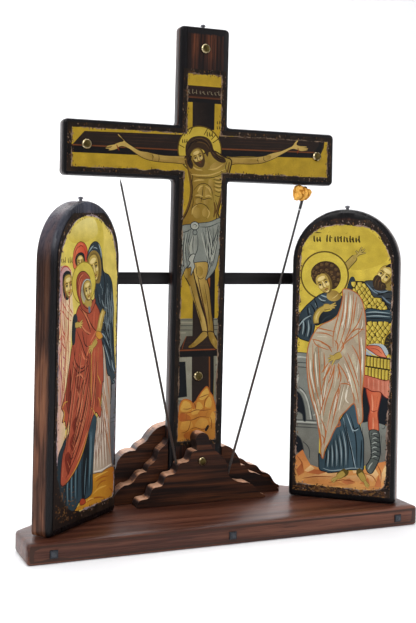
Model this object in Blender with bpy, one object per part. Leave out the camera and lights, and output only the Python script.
"""Standing table icon: a painted cross on carved rocks, between two painted arched wings.

Metres, +Z up, and the painted faces look towards -Y. The origin is on the table, under the middle of
the object's box. Heights named *_rise are measured from the top of the base board.
"""
import math

import bmesh
import bpy
from mathutils import Matrix, Vector

# Gap left between pieces that touch, and the clearance round a shank or rod in its hole
fit_gap = 0.0003

# Shading and facets: edges turned further than a crease stay crisp
board_crease = math.radians(30)
turned_crease = math.radians(40)
eased_crease = math.radians(32)
nail_sides = 24
rod_sides = 12
hole_sides = 16

# Base board
base_thickness = 0.018
base_front_margin = 0.0085
base_side_margin = 0.0074
base_slant_margin = 0.0217
base_tail = 0.013
base_round = 0.003

# Wings, arched boards that stand turned towards the middle
wing_inner_x = 0.0882
wing_turn = math.radians(40.2)
wing_width = 0.1033
wing_thickness = 0.0194
wing_rise = 0.280
wing_round = 0.0032

# Cross, one board whose axis leans a little to the right
cross_thickness = 0.015
cross_foot_x = -0.0034
cross_lean = 0.0058
cross_half_shaft = 0.0275
cross_half_head = 0.0256
cross_height = 0.452
cross_arm_height = 0.0518
cross_head_height = 0.0952
cross_arm_left = 0.1375
cross_arm_right = 0.1436
cross_corner = 0.0045
cross_round = 0.003

# Painted canvases glued to the boards
canvas_thickness = 0.0005
cross_canvas_margin = 0.0034
cross_canvas_rise = 0.0515
cross_canvas_bare_head = 0.041
wing_canvas_margin = 0.0045
wing_canvas_foot = 0.006
wing_canvas_bare_top = 0.0098

# Rocks, four boards sawn to a scalloped outline
rock_thickness = 0.015
rock_lead = 0.0008
rock_side_setback = 0.0015
scallop_depth = 0.0022
front_rock_left_x = -0.067
front_rock_length = 0.131
front_rock_rise = 0.066
knob_share = 0.487
knob_radius = 0.0068
knob_start = math.radians(205)
knob_sweep = math.radians(215)
knob_steps = 12
left_rock_length = 0.0548
left_rock_rise = 0.0585
right_rock_length = 0.063
right_rock_rise = 0.0482
rear_rock_left_x = -0.094
rear_rock_length = 0.189
rear_rock_rise = 0.0737

# Runs along a rock's outline: share of its length, share of its rise, scallops, their depth
front_rock_climb = [(0.0, 0.035, 0, 0), (0.447, 0.75, 4.5, 0.9)]
front_rock_fall = [(0.687, 0.515, 1, -0.6), (0.702, 0.35, 0, 0), (0.855, 0.235, 0.5, -1.1),
                   (0.996, 0.03, 1, 0.4)]
left_rock_climb = [(0.03, 0.11, 0, 0), (0.22, 0.30, 0.5, 0.7), (0.62, 0.49, 1, -0.9), (1.0, 1.0, 2, 0.5)]
right_rock_climb = [(0.0, 0.99, 0, 0)]
right_rock_fall = [(0.08, 1.0, 0, 0), (0.217, 0.885, 0.5, 0.4), (0.33, 0.59, 0.5, 0.5),
                   (0.557, 0.42, 1, 0.75), (0.996, 0.03, 0.5, 1.1)]
rear_rock_climb = [(0.005, 0.05, 0, 0), (0.09, 0.498, 1, 0.7), (0.185, 0.631, 0.5, 1.7),
                   (0.256, 0.797, 1, 0.45), (0.362, 0.949, 0.5, 1.3), (0.434, 1.0, 0.5, 0.35)]
rear_rock_fall = [(0.63, 0.647, 2, 0.7), (0.757, 0.437, 1.5, 0.6), (0.84, 0.335, 1, 0.4),
                  (0.918, 0.213, 1, 0.55), (0.997, 0.03, 1, 0.5)]

# Rail behind the cross, with a block at each end that meets the back of a wing
rail_rise = 0.2045
rail_height = 0.0115
rail_thickness = 0.008
rail_block_start = 0.003
rail_block_length = 0.017

# Domed brass nails
brass_head_radius = 0.0049
brass_head_height = 0.0027
brass_shank_radius = 0.0010
brass_shank_length = 0.0085
dome_seat_share = 0.97
dome_rim_share = 0.12
head_nail_drop = 0.0208
left_nail_inset = 0.0217
right_nail_inset = 0.0202
arm_nail_drop = 0.0230
foot_nail_rise = 0.1175
rock_nail_rise = 0.0393
rock_nail_radius = 0.0042

# Small pegs on the tops of the boards
peg_radius = 0.0026
peg_height = 0.0036
peg_shank_radius = 0.0007
peg_shank_length = 0.006

# Square forged nails along the base's front edge
forged_head = 0.0072
forged_head_height = 0.0017
forged_shank = 0.0022
forged_shank_length = 0.010
forged_inset = 0.022
forged_middle_x = -0.005
forged_rise_share = 0.46
forged_slope_share = 0.86
forged_rim_share = 0.6

# Spear and sponge rods, each in a hole in the front rock and up to an arm of the cross
rod_foot_radius = 0.0013
rod_tip_radius = 0.0008
spear_tip_radius = 0.0003
spear_tip_length = 0.024
rod_hole_depth = 0.007
rod_hole_reach = 0.021
spear_foot_share = 0.308
spear_arm_inset = 0.0568
sponge_foot_share = 0.712
sponge_arm_inset = 0.0270

# Sponge: half sizes, and lumps as (share of its size, turns along x, y and z)
sponge_drop = 0.0089
sponge_shift = 0.0026
sponge_half_sizes = (0.0111, 0.0095, 0.0099)
sponge_lumps = [(0.10, 3.1, 0.0, 1.7), (0.07, 0.0, -2.2, 5.3)]

# Derived places, with y still measured from the base's front edge
turn_cos = math.cos(wing_turn)
turn_sin = math.sin(wing_turn)
stand_z = base_thickness + fit_gap
wing_inner_y = base_front_margin + wing_width * turn_sin
front_rock_y = wing_inner_y + rock_lead
cross_y = front_rock_y + rock_thickness + fit_gap + canvas_thickness + fit_gap
cross_back_y = cross_y + cross_thickness
side_rock_y = cross_y + rock_side_setback
rear_rock_y = cross_back_y + fit_gap
base_depth = rear_rock_y + rock_thickness + base_tail
rail_y = cross_back_y + fit_gap
cross_top_z = stand_z + cross_height
arm_top_z = cross_top_z - cross_head_height
arm_bottom_z = arm_top_z - cross_arm_height
arm_middle_z = (arm_bottom_z + arm_top_z) / 2
origin_y = (base_depth - fit_gap - forged_head_height) / 2


def axis_x(z):
    """The cross's leaning middle line at a height."""
    return cross_foot_x + cross_lean * (z - stand_z)


arm_left_x = axis_x(arm_middle_z) - cross_arm_left
arm_right_x = axis_x(arm_middle_z) + cross_arm_right


def material(name, colour, roughness, metallic=0.0):
    """A plain finish for one kind of piece."""
    finish = bpy.data.materials.new(name)
    finish.use_nodes = True
    shader = finish.node_tree.nodes["Principled BSDF"]
    shader.inputs["Base Color"].default_value = (*colour, 1.0)
    shader.inputs["Roughness"].default_value = roughness
    shader.inputs["Metallic"].default_value = metallic
    return finish


def add_object(name, mesh, finish, smooth_angle=None):
    """One named object, moved so that its y runs from the origin."""
    mesh.transform(Matrix.Translation((0, -origin_y, 0)))
    mesh.materials.append(finish)
    if smooth_angle:
        mesh.shade_smooth()
        mesh.set_sharp_from_angle(angle=smooth_angle)
    piece = bpy.data.objects.new(name, mesh)
    bpy.context.scene.collection.objects.link(piece)
    return piece


def extruded(name, outline, depth, to_place):
    """A closed mesh from an outline in its own x and z, carried back along y by depth."""
    mesh = bpy.data.meshes.new(name)
    shape = bmesh.new()
    face = shape.faces.new([shape.verts.new((x, 0, z)) for x, z in outline])
    far = bmesh.ops.extrude_face_region(shape, geom=[face])["geom"]
    moved = [item for item in far if isinstance(item, bmesh.types.BMVert)]
    bmesh.ops.translate(shape, verts=moved, vec=(0, depth, 0))
    bmesh.ops.recalc_face_normals(shape, faces=shape.faces)
    shape.to_mesh(mesh)
    shape.free()
    mesh.transform(to_place)
    return mesh


def turned(name, profile, sides, foot, direction):
    """A closed turned mesh: profile points are (radius, distance along direction from foot)."""
    mesh = bpy.data.meshes.new(name)
    shape = bmesh.new()
    rings = []
    for radius, along in profile:
        if radius == 0:
            rings.append([shape.verts.new((0, 0, along))])
            continue
        angles = [2 * math.pi * (i + 0.5) / sides for i in range(sides)]
        rings.append([shape.verts.new((radius * math.cos(a), radius * math.sin(a), along)) for a in angles])
    for low, high in zip(rings, rings[1:]):
        for i in range(sides):
            j = (i + 1) % sides
            corners = [low[i % len(low)], low[j % len(low)], high[j % len(high)], high[i % len(high)]]
            shape.faces.new(list(dict.fromkeys(corners)))
    bmesh.ops.recalc_face_normals(shape, faces=shape.faces)
    shape.to_mesh(mesh)
    shape.free()
    to_axis = Vector(direction).to_track_quat("Z", "Y").to_matrix().to_4x4()
    mesh.transform(Matrix.Translation(foot) @ to_axis)
    return mesh


def round_arrises(piece, width, segments=2):
    """Ease a board's edges, and leave the short chords of its curves alone."""
    bevel = piece.modifiers.new("eased edges", "BEVEL")
    bevel.width = width
    bevel.segments = segments
    bevel.limit_method = "ANGLE"
    bevel.angle_limit = eased_crease


def drill(pieces, name, foot, direction, radius, length, sides=hole_sides):
    """Cut one straight hole, from foot along direction, through each of the pieces it meets."""
    mesh = turned(name, [(0, 0), (radius, 0), (radius, length), (0, length)], sides, foot, direction)
    cutter = add_object(name, mesh, hidden_finish)
    cutter.hide_render = True
    cutter.display_type = "WIRE"
    for piece in pieces:
        cut = piece.modifiers.new(name, "BOOLEAN")
        cut.operation = "DIFFERENCE"
        cut.object = cutter


def round_corner(before, corner, after, radius, steps=5):
    """Points of the arc that replaces a corner of an outline."""
    before, corner, after = Vector(before), Vector(corner), Vector(after)
    to_before = (before - corner).normalized()
    to_after = (after - corner).normalized()
    half = to_before.angle(to_after) / 2
    centre = corner + (to_before + to_after).normalized() * radius / math.sin(half)
    start = corner + to_before * radius / math.tan(half) - centre
    finish = corner + to_after * radius / math.tan(half) - centre
    sweep = start.angle_signed(finish)
    return [centre + Matrix.Rotation(-sweep * i / steps, 2) @ start for i in range(steps + 1)]


def rounded_outline(corners, radii):
    """An outline whose corners are rounded, each by its own radius; 0 keeps a corner sharp."""
    points = []
    for i, radius in enumerate(radii):
        if radius == 0:
            points.append(Vector(corners[i]))
        else:
            after = corners[(i + 1) % len(corners)]
            points += round_corner(corners[i - 1], corners[i], after, radius)
    return points


def cross_outline(margin, top_z, foot_z, corner):
    """The cross's outline, drawn in by a margin all round, between two heights."""
    shaft = cross_half_shaft - margin
    head = cross_half_head - margin
    low = arm_bottom_z + margin
    high = arm_top_z - margin
    corners = [
        (axis_x(foot_z) - shaft, foot_z), (axis_x(foot_z) + shaft, foot_z),
        (axis_x(low) + shaft, low), (arm_right_x - margin, low), (arm_right_x - margin, high),
        (axis_x(high) + head, high), (axis_x(top_z) + head, top_z), (axis_x(top_z) - head, top_z),
        (axis_x(high) - head, high), (arm_left_x + margin, high), (arm_left_x + margin, low),
        (axis_x(low) - shaft, low),
    ]
    outer = {3, 4, 6, 7, 9, 10}
    return rounded_outline(corners, [corner if i in outer else 0 for i in range(len(corners))])


def arch_outline(low_u, high_u, foot_z, side_margin, flat_top_z, steps=32):
    """A round-headed board's outline; side_margin draws it in, flat_top_z cuts its crown level."""
    radius = (high_u - low_u) / 2 - side_margin
    middle = (high_u + low_u) / 2
    spring_z = stand_z + wing_rise - (high_u - low_u) / 2
    reach = math.asin(min(1.0, (flat_top_z - spring_z) / radius))
    points = [Vector((middle - radius, foot_z)), Vector((middle + radius, foot_z))]
    for i in range(steps + 1):
        angle = reach * 2 * i / steps if i * 2 <= steps else math.pi - reach * 2 * (steps - i) / steps
        points.append(Vector((middle + radius * math.cos(angle), spring_z + radius * math.sin(angle))))
    return points


def scalloped(points, finish, waves=0.0, depth=1.0, steps=8):
    """Carry an outline on to finish; scallops stand out of the line by shares of scallop_depth."""
    start, finish = Vector(points[-1]), Vector(finish)
    outward = Vector((start.y - finish.y, finish.x - start.x)).normalized()
    count = max(1, round(waves * steps))
    for i in range(1, count + 1):
        swing = depth * scallop_depth * math.sin(2 * math.pi * waves * i / count)
        points.append(start.lerp(finish, i / count) + outward * swing)


def rock_outline(left_x, length, rise, climb, fall, knob=False):
    """A rock's outline; climb and fall are runs of (share along, share up, waves, depth)."""
    points = [Vector((left_x, stand_z))]
    for along, up, waves, depth in climb:
        scalloped(points, (left_x + length * along, stand_z + rise * up), waves, depth)
    if knob:
        centre = Vector((left_x + length * knob_share, stand_z + rise - knob_radius))
        for i in range(knob_steps + 1):
            angle = knob_start - knob_sweep * i / knob_steps
            points.append(centre + knob_radius * Vector((math.cos(angle), math.sin(angle))))
    for along, up, waves, depth in fall:
        scalloped(points, (left_x + length * along, stand_z + rise * up), waves, depth)
    points.append(Vector((left_x + length, stand_z)))
    return points


def top_of(outline, x):
    """The highest point of an outline at x."""
    heights = []
    for a, b in zip(outline, outline[1:]):
        if min(a.x, b.x) <= x <= max(a.x, b.x) and a.x != b.x:
            heights.append(a.y + (b.y - a.y) * (x - a.x) / (b.x - a.x))
    return max(heights)


def dome(radius, height, start, steps=5):
    """Profile points of a domed head that starts at a distance along its axis."""
    angles = [math.pi / 2 * i / steps for i in range(steps)]
    points = [(radius * math.cos(a), start + height * math.sin(a)) for a in angles]
    return points + [(0, start + height)]


def domed_nail(name, foot, outward, finish, head, height, shank, length, holes):
    """A round nail whose head stands one fit gap off its seat, with a hole round its shank."""
    foot, outward = Vector(foot), Vector(outward)
    profile = [(0, -length), (shank, -length), (shank, 0), (head * dome_seat_share, 0)]
    profile += dome(head, height * (1 - dome_rim_share), height * dome_rim_share)
    seat = foot + outward * fit_gap
    add_object(name, turned(name, profile, nail_sides, seat, outward), finish, turned_crease)
    bottom = foot - outward * (length + fit_gap)
    drill(holes, name + "_hole", bottom, outward, shank + fit_gap, length + height)


def forged_nail(number, x, board):
    """A square nail with a low faceted head, driven into the base's front edge."""
    foot = Vector((x, 0, base_thickness * forged_rise_share))
    outward = Vector((0, -1, 0))
    to_corner = math.sqrt(0.5)
    profile = [
        (0, -forged_shank_length), (forged_shank * to_corner, -forged_shank_length),
        (forged_shank * to_corner, 0), (forged_head * to_corner, 0),
        (forged_head * to_corner * forged_slope_share, forged_head_height * forged_rim_share),
        (0, forged_head_height),
    ]
    name = f"forged_nail_{number}"
    add_object(name, turned(name, profile, 4, foot + outward * fit_gap, outward), iron)
    bottom = foot - outward * (forged_shank_length + fit_gap)
    hole = (forged_shank + 2 * fit_gap) * to_corner
    drill([board], name + "_hole", bottom, outward, hole, forged_shank_length + forged_head_height, 4)


def plank(name, outline, front_y, thickness, finish):
    """A board that faces straight ahead."""
    place = Matrix.Translation((0, front_y, 0))
    return add_object(name, extruded(name, outline, thickness, place), finish, board_crease)


def make_base():
    """The base board: straight front, short ends, slanted back sides that follow the wings."""
    outer_back_x = wing_inner_x + wing_width * turn_cos + wing_thickness * turn_sin
    half = outer_back_x + base_side_margin
    slant = wing_inner_x * turn_sin + wing_inner_y * turn_cos + wing_thickness + base_slant_margin
    end_y = (slant - half * turn_sin) / turn_cos
    back_half = (slant - base_depth * turn_cos) / turn_sin
    plan = [(-half, 0), (half, 0), (half, end_y), (back_half, base_depth),
            (-back_half, base_depth), (-half, end_y)]
    lying = Matrix(((1, 0, 0, 0), (0, 0, 1, 0), (0, 1, 0, 0), (0, 0, 0, 1)))
    mesh = extruded("base_board", plan, base_thickness, lying)
    mesh.flip_normals()
    board = add_object("base_board", mesh, base_wood, board_crease)
    round_arrises(board, base_round)
    for number, x in enumerate((-half + forged_inset, forged_middle_x, half - forged_inset), 1):
        forged_nail(number, x, board)


def make_wing(name, side):
    """One arched board with its canvas and the peg on its crown; side is -1 left, 1 right."""
    low_u, high_u = (0, wing_width) if side > 0 else (-wing_width, 0)
    hinge = Vector((side * wing_inner_x, wing_inner_y, 0))
    stand = Matrix.Translation(hinge) @ Matrix.Rotation(-side * wing_turn, 4, "Z")
    top_z = stand_z + wing_rise
    outline = arch_outline(low_u, high_u, stand_z, 0, top_z)
    mesh = extruded(name, outline, wing_thickness, stand)
    board = add_object(name, mesh, board_wood, board_crease)
    round_arrises(board, wing_round)
    foot_z = stand_z + wing_canvas_foot
    sheet = arch_outline(low_u, high_u, foot_z, wing_canvas_margin, top_z - wing_canvas_bare_top)
    proud = stand @ Matrix.Translation((0, -fit_gap - canvas_thickness, 0))
    add_object(name + "_canvas", extruded(name + "_canvas", sheet, canvas_thickness, proud), painting)
    crown = stand @ Vector(((low_u + high_u) / 2, wing_thickness / 2, top_z))
    make_peg(name + "_peg", crown, board)


def make_peg(name, crown, board):
    """A small grey peg that stands on a board's top."""
    domed_nail(name, crown, (0, 0, 1), grey_metal, peg_radius, peg_height,
               peg_shank_radius, peg_shank_length, [board])


def make_cross():
    """The cross board with its canvas, four brass nails and the peg on its head."""
    outline = cross_outline(0, cross_top_z, stand_z, cross_corner)
    board = plank("cross_board", outline, cross_y, cross_thickness, board_wood)
    round_arrises(board, cross_round)
    sheet = cross_outline(cross_canvas_margin, cross_top_z - cross_canvas_bare_head,
                          stand_z + cross_canvas_rise, 0)
    sheet_y = cross_y - fit_gap - canvas_thickness
    canvas = plank("cross_canvas", sheet, sheet_y, canvas_thickness, painting)
    head_z = cross_top_z - head_nail_drop
    arm_z = arm_top_z - arm_nail_drop
    foot_z = stand_z + foot_nail_rise
    bare = (axis_x(head_z), cross_y, head_z)
    places = {
        "brass_nail_head": (bare, [board]),
        "brass_nail_left_arm": ((arm_left_x + left_nail_inset, sheet_y, arm_z), [board, canvas]),
        "brass_nail_right_arm": ((arm_right_x - right_nail_inset, sheet_y, arm_z), [board, canvas]),
        "brass_nail_foot": ((axis_x(foot_z), sheet_y, foot_z), [board, canvas]),
    }
    for name, (foot, holes) in places.items():
        domed_nail(name, foot, (0, -1, 0), brass, brass_head_radius, brass_head_height,
                   brass_shank_radius, brass_shank_length, holes)
    crown = (axis_x(cross_top_z), cross_y + cross_thickness / 2, cross_top_z)
    make_peg("cross_peg", crown, board)


def make_rocks():
    """Four sawn boards: one before the cross, one at each side and one behind it."""
    front = rock_outline(front_rock_left_x, front_rock_length, front_rock_rise,
                         front_rock_climb, front_rock_fall, knob=True)
    front_board = plank("rock_front", front, front_rock_y, rock_thickness, rock_wood)
    nail_foot = (axis_x(stand_z), front_rock_y, stand_z + rock_nail_rise)
    domed_nail("brass_nail_rock", nail_foot, (0, -1, 0), brass, rock_nail_radius,
               brass_head_height, brass_shank_radius, brass_shank_length, [front_board])

    side_thickness = cross_thickness - rock_side_setback
    left_end = axis_x(stand_z) - cross_half_shaft - fit_gap
    left = rock_outline(left_end - left_rock_length, left_rock_length, left_rock_rise,
                        left_rock_climb, [])
    plank("rock_left", left, side_rock_y, side_thickness, rock_wood)
    right_end = axis_x(stand_z + right_rock_rise) + cross_half_shaft + fit_gap
    right = rock_outline(right_end, right_rock_length, right_rock_rise,
                         right_rock_climb, right_rock_fall)
    plank("rock_right", right, side_rock_y, side_thickness, rock_wood)
    rear = rock_outline(rear_rock_left_x, rear_rock_length, rear_rock_rise,
                        rear_rock_climb, rear_rock_fall)
    plank("rock_rear", rear, rear_rock_y, rock_thickness, rock_wood)
    return front, front_board


def make_rail():
    """The rail glued behind the cross, and the block at each end that joins it to a wing's back."""
    plan = []
    for share in (rail_block_start, rail_block_start + rail_block_length):
        on_wing = Vector((wing_inner_x + share * turn_cos, wing_inner_y - share * turn_sin))
        plan.append(on_wing + (wing_thickness + fit_gap) * Vector((turn_sin, turn_cos)))
    near, far = plan
    block_back = rail_y - fit_gap
    right = [(near.x, block_back), (near.x, near.y), (far.x, far.y), (far.x, block_back)]
    left = [(-x, y) for x, y in reversed(right)]
    rail = [(-far.x, rail_y), (far.x, rail_y), (far.x, rail_y + rail_thickness),
            (-far.x, rail_y + rail_thickness)]
    lying = Matrix(((1, 0, 0, 0), (0, 0, 1, 0), (0, 1, 0, stand_z + rail_rise), (0, 0, 0, 1)))
    plans = {"cross_rail": rail, "rail_block_left": left, "rail_block_right": right}
    for name, corners in plans.items():
        mesh = extruded(name, corners, rail_height, lying)
        mesh.flip_normals()
        add_object(name, mesh, rail_wood)


def rod_line(foot_share, arm_x, outline):
    """Foot and tip of a rod: in the front rock's upper edge, and under an arm of the cross."""
    x = front_rock_left_x + front_rock_length * foot_share
    mouth = Vector((x, front_rock_y + rock_thickness / 2, top_of(outline, x)))
    tip = Vector((arm_x, cross_y + cross_thickness / 2, arm_bottom_z - fit_gap))
    along = (tip - mouth).normalized()
    return mouth - along * rod_hole_depth, tip - along * rod_foot_radius, along


def make_rods(outline, board):
    """The spear rod on the left, and the rod with the sponge on the right."""
    foot, tip, along = rod_line(spear_foot_share, arm_left_x + spear_arm_inset, outline)
    length = (tip - foot).length
    profile = [(0, 0), (rod_foot_radius, 0), (rod_tip_radius, length - spear_tip_length),
               (spear_tip_radius, length), (0, length)]
    spear = turned("spear_rod", profile, rod_sides, foot, along)
    add_object("spear_rod", spear, rod_finish, turned_crease)
    hole = rod_foot_radius + fit_gap
    drill([board], "spear_hole", foot - along * fit_gap, along, hole, rod_hole_reach)

    foot, tip, along = rod_line(sponge_foot_share, arm_right_x - sponge_arm_inset, outline)
    length = (tip - foot).length
    profile = [(0, 0), (rod_foot_radius, 0), (rod_tip_radius, length), (0, length)]
    rod = turned("sponge_rod", profile, rod_sides, foot, along)
    add_object("sponge_rod", rod, rod_finish, turned_crease)
    drill([board], "sponge_rod_hole", foot - along * fit_gap, along, hole, rod_hole_reach)
    make_sponge(tip, along)


def make_sponge(tip, along):
    """A torn lump of sponge, pierced by its rod."""
    on_rod = tip + along * ((arm_bottom_z - sponge_drop - tip.z) / along.z)
    centre = on_rod - Vector((sponge_shift, 0, 0))
    mesh = bpy.data.meshes.new("sponge")
    shape = bmesh.new()
    bmesh.ops.create_icosphere(shape, subdivisions=3, radius=1.0)
    for corner in shape.verts:
        size = 1.0
        for share, *turns in sponge_lumps:
            size -= share * (1 - math.sin(corner.co.dot(Vector(turns))))
        corner.co = corner.co * Vector(sponge_half_sizes) * size
    shape.to_mesh(mesh)
    shape.free()
    mesh.transform(Matrix.Translation(centre))
    sponge = add_object("sponge", mesh, sponge_finish, turned_crease)
    half_hole = along * 2 * max(sponge_half_sizes)
    drill([sponge], "sponge_hole", on_rod - half_hole, along, rod_foot_radius + fit_gap,
          2 * half_hole.length)


for old in list(bpy.data.objects):
    bpy.data.objects.remove(old)

hidden_finish = material("cutter", (0.5, 0.5, 0.5), 0.5)
base_wood = material("base_walnut", (0.105, 0.040, 0.024), 0.42)
board_wood = material("board_walnut", (0.052, 0.024, 0.018), 0.38)
rock_wood = material("rock_walnut", (0.070, 0.030, 0.018), 0.50)
rail_wood = material("rail_black", (0.010, 0.009, 0.010), 0.45)
painting = material("painted_canvas", (0.42, 0.31, 0.06), 0.40)
brass = material("brass", (0.72, 0.53, 0.20), 0.25, 1.0)
iron = material("forged_iron", (0.030, 0.030, 0.034), 0.50, 1.0)
grey_metal = material("grey_metal", (0.20, 0.19, 0.21), 0.35, 1.0)
rod_finish = material("rod_grey", (0.060, 0.052, 0.045), 0.50)
sponge_finish = material("sponge", (0.76, 0.40, 0.09), 0.90)

make_base()
make_wing("wing_left", -1)
make_wing("wing_right", 1)
make_cross()
rock_profile, rock_board = make_rocks()
make_rail()
make_rods(rock_profile, rock_board)
